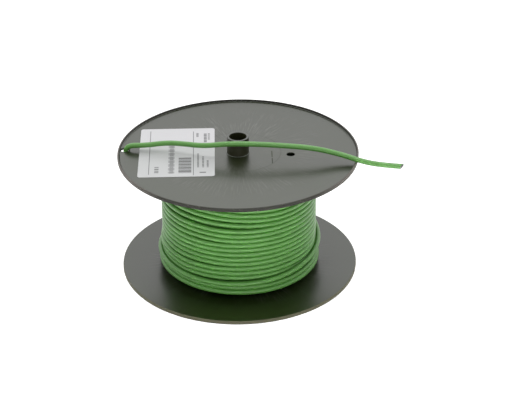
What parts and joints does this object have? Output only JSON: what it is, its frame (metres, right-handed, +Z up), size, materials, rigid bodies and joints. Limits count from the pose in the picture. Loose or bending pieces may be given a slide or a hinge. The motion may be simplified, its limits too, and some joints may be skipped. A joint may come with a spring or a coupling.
{
  "type": "wire spool",
  "caption": "Plastic wire spool with two flat rimmed flanges on a barrel, wound with insulated wire whose free end comes out through a rim hole, turning on a centre tube",
  "frame": {"origin": "the table plane at the spool's axis, in the middle of the lower flange's rim, in metres", "axes": "+Z runs up the axis, from the flange on the table to the flange with the label; +X points from the label across the axis, towards the cut end of the wire; the picture looks along +Y from above"},
  "size_m": [0.1867, 0.16, 0.0964],
  "materials": {
    "flange_plastic": "semi-gloss moulded black plastic",
    "barrel_plastic": "matt extruded black plastic",
    "tube_plastic": "matt extruded black plastic",
    "label_paper": "matt white paper",
    "wire_insulation": "satin green wire insulation",
    "copper_strand": "bright drawn copper strands"
  },
  "bodies": {
    "centre_tube": {"centre_tube": "tube_plastic"},
    "spool": {"lower_flange": "flange_plastic", "upper_flange": "flange_plastic", "barrel": "barrel_plastic", "label": "label_paper", "wire_inner_layers": "wire_insulation", "wire_outer_layer": "wire_insulation", "wire_tail": "wire_insulation", "conductor_strands": "copper_strand"}
  },
  "joints": [
    {"name": "spool_spin", "type": "hinge", "parent": "centre_tube", "child": "spool", "pos_m": [0, 0, 0], "axis": [0, 0, 1], "continuous": true}
  ]
}
